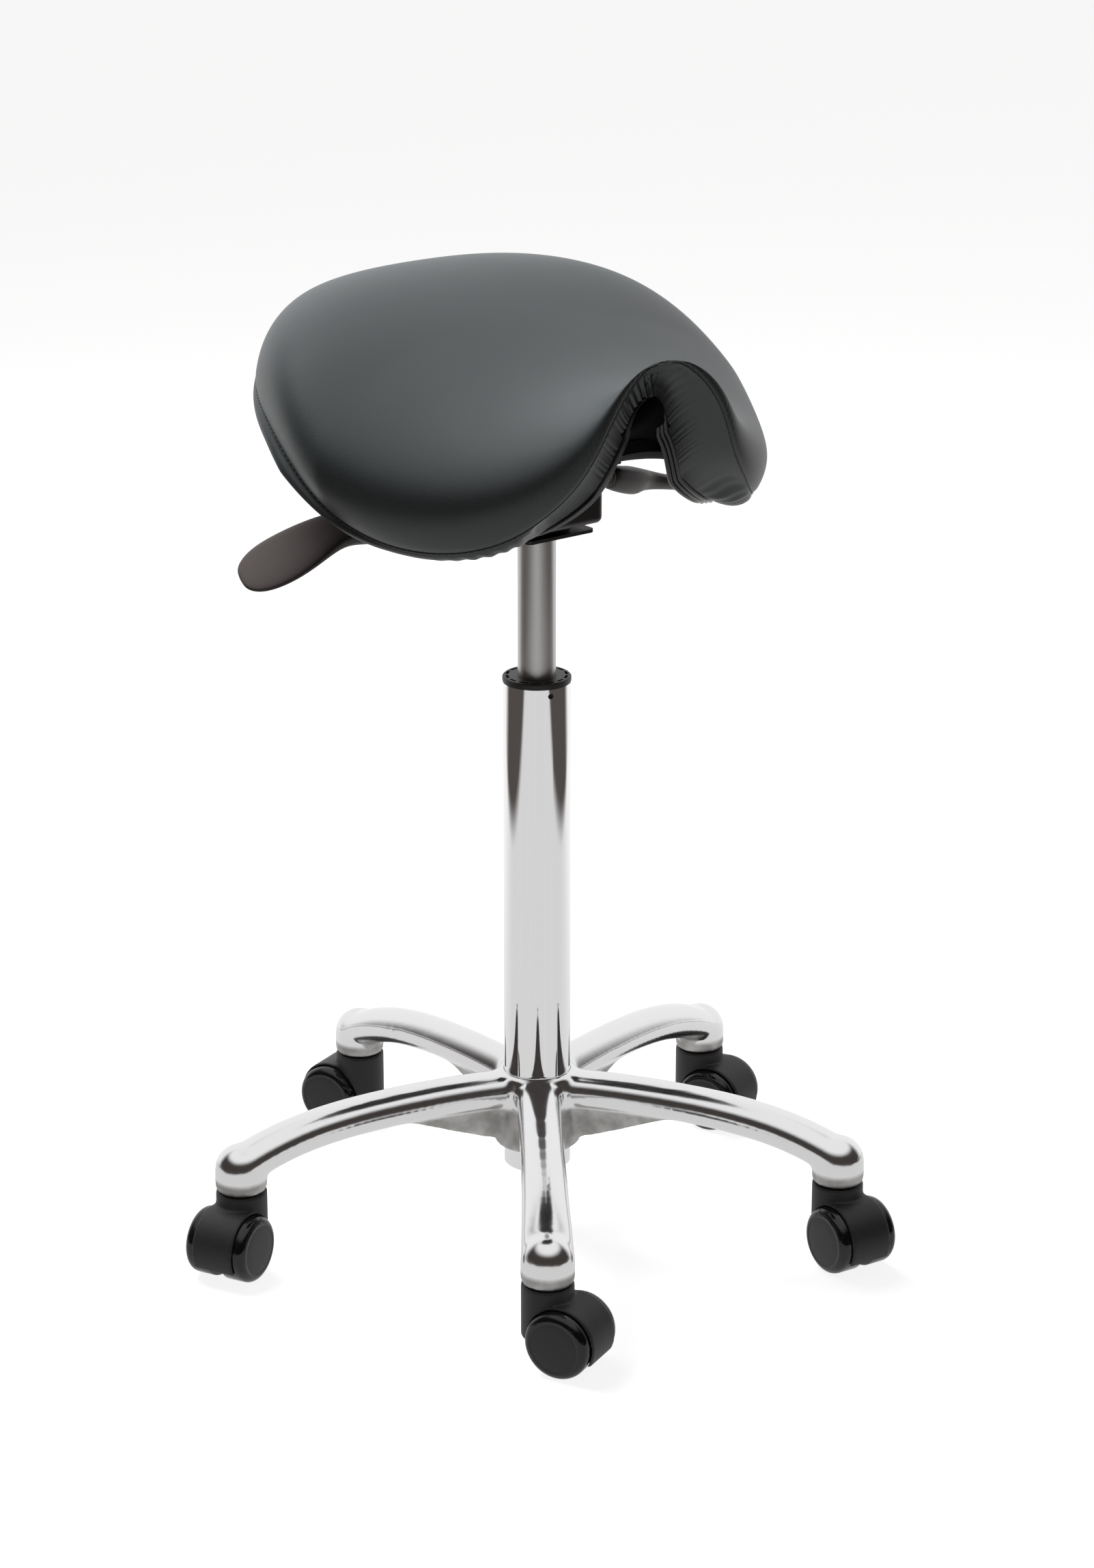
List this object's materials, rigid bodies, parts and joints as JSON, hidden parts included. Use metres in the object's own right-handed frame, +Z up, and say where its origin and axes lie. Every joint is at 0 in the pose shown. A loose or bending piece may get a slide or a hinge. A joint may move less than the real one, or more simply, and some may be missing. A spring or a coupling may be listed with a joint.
{
  "type": "dentist saddle stool",
  "caption": "Height-adjustable saddle stool with a padded leather saddle seat, tilt mechanism, gas spring column and polished five-arm castor base.",
  "frame": {"origin": "on the floor, under the axis of the column", "axes": "+Z up along the column; the rider faces -Y, and +X is the rider's left"},
  "size_m": [0.5292, 0.518, 0.7158],
  "materials": {
    "polished_aluminium": "polished",
    "chrome": "mirror chrome",
    "satin_steel": "lengthwise brushed",
    "bright_steel": "machined",
    "black_paint": "satin black powder coat",
    "black_nylon": "fine textured black",
    "lever_plastic": "matte brown-black",
    "wheel_nylon": "gloss black rim, matte face",
    "rubber": "matte black",
    "board": "birch plywood",
    "shell": "moulded black",
    "leather": "dark slate grey leather"
  },
  "bodies": {
    "base": {"base_star": "polished_aluminium", "column_tube": "chrome", "guide_collar": "black_nylon", "castor_stems": "bright_steel", "stem_grip_rings": "bright_steel", "lower_race": "bright_steel"},
    "spindle": {"piston_rod": "bright_steel", "piston": "bright_steel", "rod_clip": "bright_steel", "clip_washer": "bright_steel", "upper_race": "bright_steel", "bump_rubber": "rubber", "ball_cage": "black_nylon", "bearing_balls": "bright_steel"},
    "lift": {"gas_cylinder": "satin_steel", "rod_seal": "bright_steel", "taper_socket": "black_paint", "mechanism_housing": "black_paint", "lower_plate": "black_paint", "lever_pivot_pins": "bright_steel", "tilt_axle": "bright_steel", "lock_stud": "bright_steel", "lock_discs": "bright_steel", "lock_nut": "bright_steel"},
    "release_pin": {"release_pin": "bright_steel"},
    "height_lever": {"height_lever_shaft": "bright_steel", "height_lever_boot": "rubber", "height_lever_handle": "lever_plastic"},
    "tilt_lever": {"tilt_lever_shaft": "bright_steel", "tilt_lever_boot": "rubber", "tilt_lever_handle": "lever_plastic"},
    "seat": {"seat_plate": "black_paint", "seat_block": "board", "seat_shell": "shell", "seat_cushion": "leather", "seat_bolts": "bright_steel", "thread_inserts": "bright_steel", "bump_stops": "rubber", "lock_quadrant": "black_paint"},
    "castor_1": {"castor_hood_1": "black_nylon", "castor_axle_1": "bright_steel"},
    "wheel_left_1": {"castor_wheel_left_1": "wheel_nylon"},
    "wheel_right_1": {"castor_wheel_right_1": "wheel_nylon"},
    "castor_2": {"castor_hood_2": "black_nylon", "castor_axle_2": "bright_steel"},
    "wheel_left_2": {"castor_wheel_left_2": "wheel_nylon"},
    "wheel_right_2": {"castor_wheel_right_2": "wheel_nylon"},
    "castor_3": {"castor_hood_3": "black_nylon", "castor_axle_3": "bright_steel"},
    "wheel_left_3": {"castor_wheel_left_3": "wheel_nylon"},
    "wheel_right_3": {"castor_wheel_right_3": "wheel_nylon"},
    "castor_4": {"castor_hood_4": "black_nylon", "castor_axle_4": "bright_steel"},
    "wheel_left_4": {"castor_wheel_left_4": "wheel_nylon"},
    "wheel_right_4": {"castor_wheel_right_4": "wheel_nylon"},
    "castor_5": {"castor_hood_5": "black_nylon", "castor_axle_5": "bright_steel"},
    "wheel_left_5": {"castor_wheel_left_5": "wheel_nylon"},
    "wheel_right_5": {"castor_wheel_right_5": "wheel_nylon"}
  },
  "joints": [
    {"name": "seat_swivel", "type": "hinge", "parent": "base", "child": "spindle", "pos_m": [0, 0, 0.06], "axis": [0, 0, 1], "continuous": true},
    {"name": "height_slide", "type": "slide", "parent": "spindle", "child": "lift", "axis": [0, 0, 1], "range_m": [-0.08, 0.115]},
    {"name": "seat_tilt", "type": "hinge", "parent": "lift", "child": "seat", "pos_m": [0, 0.03, 0.584], "axis": [1, 0, 0], "range_deg": [-8, 8]},
    {"name": "height_lever_lift", "type": "hinge", "parent": "lift", "child": "height_lever", "pos_m": [-0.03, 0, 0.583], "axis": [0, 1, 0], "range_deg": [0, 6], "stiffness_Nm_per_rad": 1.5},
    {"name": "release_pin_press", "type": "slide", "parent": "lift", "child": "release_pin", "axis": [0, 0, 1], "range_m": [-0.004, 0], "stiffness_N_per_m": 300},
    {"name": "tilt_lever_lift", "type": "hinge", "parent": "lift", "child": "tilt_lever", "pos_m": [0.03, 0, 0.583], "axis": [0, -1, 0], "range_deg": [0, 6], "stiffness_Nm_per_rad": 1.5},
    {"name": "castor_1_swivel", "type": "hinge", "parent": "base", "child": "castor_1", "pos_m": [0, 0.233, 0.062], "axis": [0, 0, 1], "continuous": true},
    {"name": "wheel_left_1_roll", "type": "hinge", "parent": "castor_1", "child": "wheel_left_1", "pos_m": [-0.00674, 0.24969, 0.025], "axis": [-0.9272, -0.3746, 0], "continuous": true},
    {"name": "wheel_right_1_roll", "type": "hinge", "parent": "castor_1", "child": "wheel_right_1", "pos_m": [-0.00674, 0.24969, 0.025], "axis": [-0.9272, -0.3746, 0], "continuous": true},
    {"name": "castor_2_swivel", "type": "hinge", "parent": "base", "child": "castor_2", "pos_m": [-0.2216, 0.072, 0.062], "axis": [0, 0, 1], "continuous": true},
    {"name": "wheel_left_2_roll", "type": "hinge", "parent": "castor_2", "child": "wheel_left_2", "pos_m": [-0.23791, 0.06439, 0.025], "axis": [0.4226, -0.9063, 0], "continuous": true},
    {"name": "wheel_right_2_roll", "type": "hinge", "parent": "castor_2", "child": "wheel_right_2", "pos_m": [-0.23791, 0.06439, 0.025], "axis": [0.4226, -0.9063, 0], "continuous": true},
    {"name": "castor_3_swivel", "type": "hinge", "parent": "base", "child": "castor_3", "pos_m": [-0.13695, -0.1885, 0.062], "axis": [0, 0, 1], "continuous": true},
    {"name": "wheel_left_3_roll", "type": "hinge", "parent": "castor_3", "child": "wheel_left_3", "pos_m": [-0.12963, -0.20494, 0.025], "axis": [0.9135, 0.4067, 0], "continuous": true},
    {"name": "wheel_right_3_roll", "type": "hinge", "parent": "castor_3", "child": "wheel_right_3", "pos_m": [-0.12963, -0.20494, 0.025], "axis": [0.9135, 0.4067, 0], "continuous": true},
    {"name": "castor_4_swivel", "type": "hinge", "parent": "base", "child": "castor_4", "pos_m": [0.13695, -0.1885, 0.062], "axis": [0, 0, 1], "continuous": true},
    {"name": "wheel_left_4_roll", "type": "hinge", "parent": "castor_4", "child": "wheel_left_4", "pos_m": [0.13507, -0.2064, 0.025], "axis": [0.9945, -0.1045, 0], "continuous": true},
    {"name": "wheel_right_4_roll", "type": "hinge", "parent": "castor_4", "child": "wheel_right_4", "pos_m": [0.13507, -0.2064, 0.025], "axis": [0.9945, -0.1045, 0], "continuous": true},
    {"name": "castor_5_swivel", "type": "hinge", "parent": "base", "child": "castor_5", "pos_m": [0.2216, 0.072, 0.062], "axis": [0, 0, 1], "continuous": true},
    {"name": "wheel_left_5_roll", "type": "hinge", "parent": "castor_5", "child": "wheel_left_5", "pos_m": [0.22834, 0.05531, 0.025], "axis": [0.9272, 0.3746, 0], "continuous": true},
    {"name": "wheel_right_5_roll", "type": "hinge", "parent": "castor_5", "child": "wheel_right_5", "pos_m": [0.22834, 0.05531, 0.025], "axis": [0.9272, 0.3746, 0], "continuous": true}
  ],
  "couplings": [
    {"joint": "release_pin_press", "follows": "height_lever_lift", "m_per_rad": -0.03}
  ]
}
